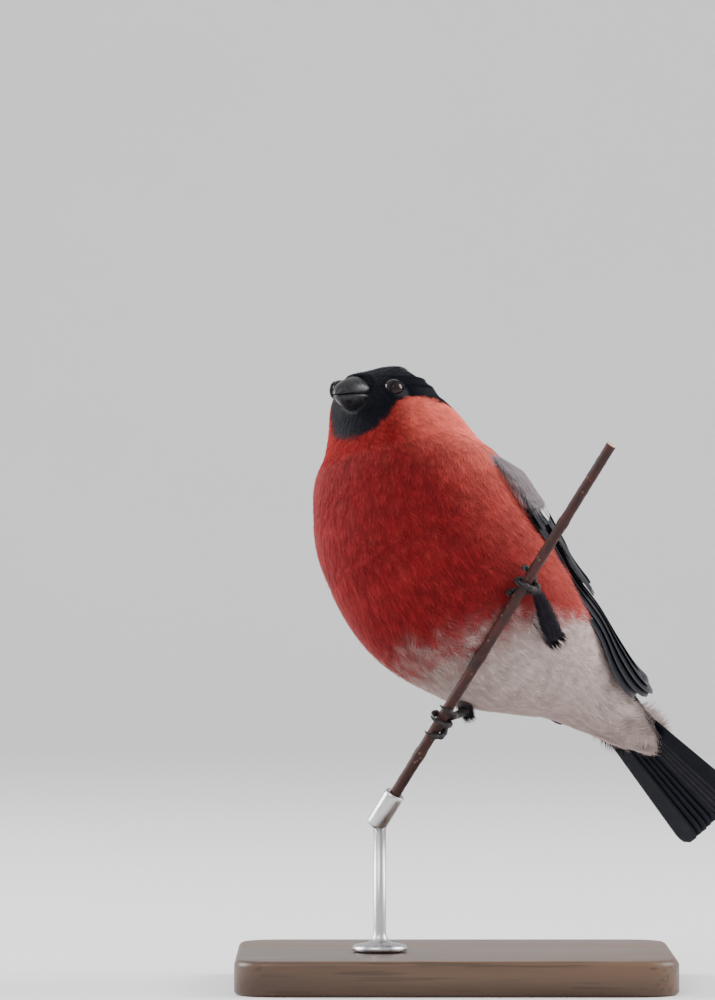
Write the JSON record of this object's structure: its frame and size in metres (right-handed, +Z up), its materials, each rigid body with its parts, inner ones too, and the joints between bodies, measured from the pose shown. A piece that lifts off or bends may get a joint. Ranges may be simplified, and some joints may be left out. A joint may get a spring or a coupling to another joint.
{
  "type": "perched bullfinch display model",
  "caption": "Life-size still model of a male bullfinch gripping a steep cut twig, held by a flat base and a thin rod.",
  "frame": {"origin": "centre of the stand base's flat underside", "axes": "+Z up; the bird is seen from -Y in the picture's view, with +X to the right"},
  "size_m": [0.1356, 0.0947, 0.1586],
  "materials": {
    "plumage_red": "soft feathered",
    "plumage_black": "glossy blue-black feathered",
    "bill": "satin horn",
    "shank": "scaled dark brown skin",
    "eye": "polished dark glass",
    "bark": "reddish brown bark",
    "rod_steel": "brushed",
    "base_wood": "dark stained, satin varnish"
  },
  "bodies": {
    "root": {"torso": "plumage_red", "neck": "plumage_red", "head": "plumage_black", "bill_upper": "bill", "bill_lower": "bill", "tail": "plumage_black", "eye_left": "eye", "eye_right": "eye", "wing_left": "plumage_black", "wing_right": "plumage_black", "leg_left": "shank", "leg_right": "shank", "foot_left": "shank", "foot_right": "shank", "perch_twig": "bark", "stand_rod": "rod_steel", "stand_base": "base_wood"}
  },
  "joints": []
}
